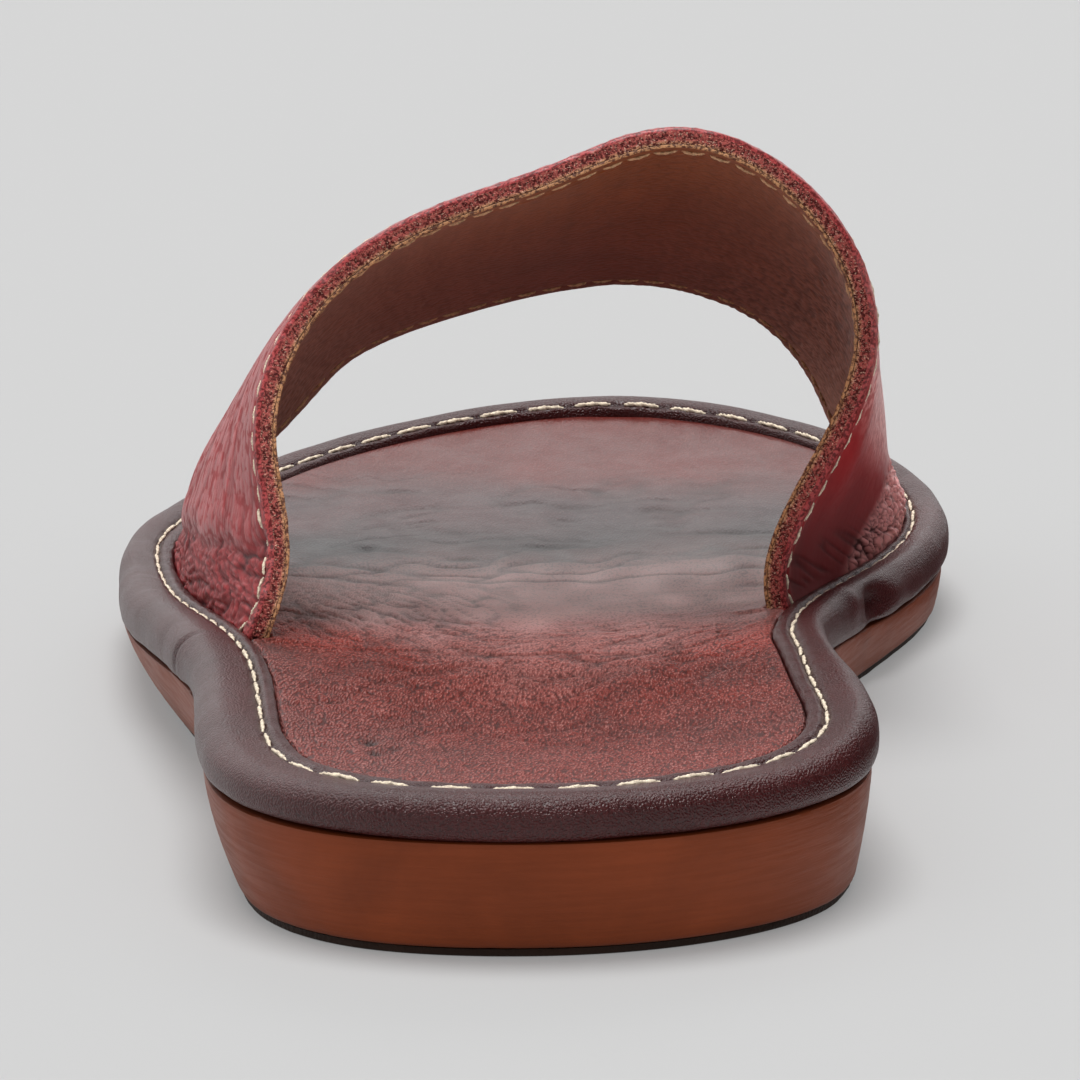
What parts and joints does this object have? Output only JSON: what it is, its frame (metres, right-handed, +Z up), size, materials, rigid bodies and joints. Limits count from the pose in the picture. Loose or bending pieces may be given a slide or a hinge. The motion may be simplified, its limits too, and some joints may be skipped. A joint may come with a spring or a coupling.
{
  "type": "leather slide sandal",
  "caption": "Open-backed leather slide: wide stitched strap over the instep, padded rolled rim, shaped insole, low wedge midsole and thin rubber outsole.",
  "frame": {"origin": "on the floor, under the middle of the sole's outline", "axes": "+Y from the heel to the toe, +X to the big toe's side, +Z up"},
  "size_m": [0.1106, 0.28, 0.0775],
  "materials": {
    "outsole": "near-black matt rubber",
    "midsole": "burnished orange-brown stacked leather edge",
    "rim": "dark brown satin leather, rolled and stitched",
    "insole": "red-brown polished leather with a dark worn band",
    "strap": "red grained leather with a tan lining"
  },
  "bodies": {
    "root": {"outsole": "outsole", "midsole": "midsole", "rim": "rim", "insole": "insole", "strap": "strap"}
  },
  "joints": []
}
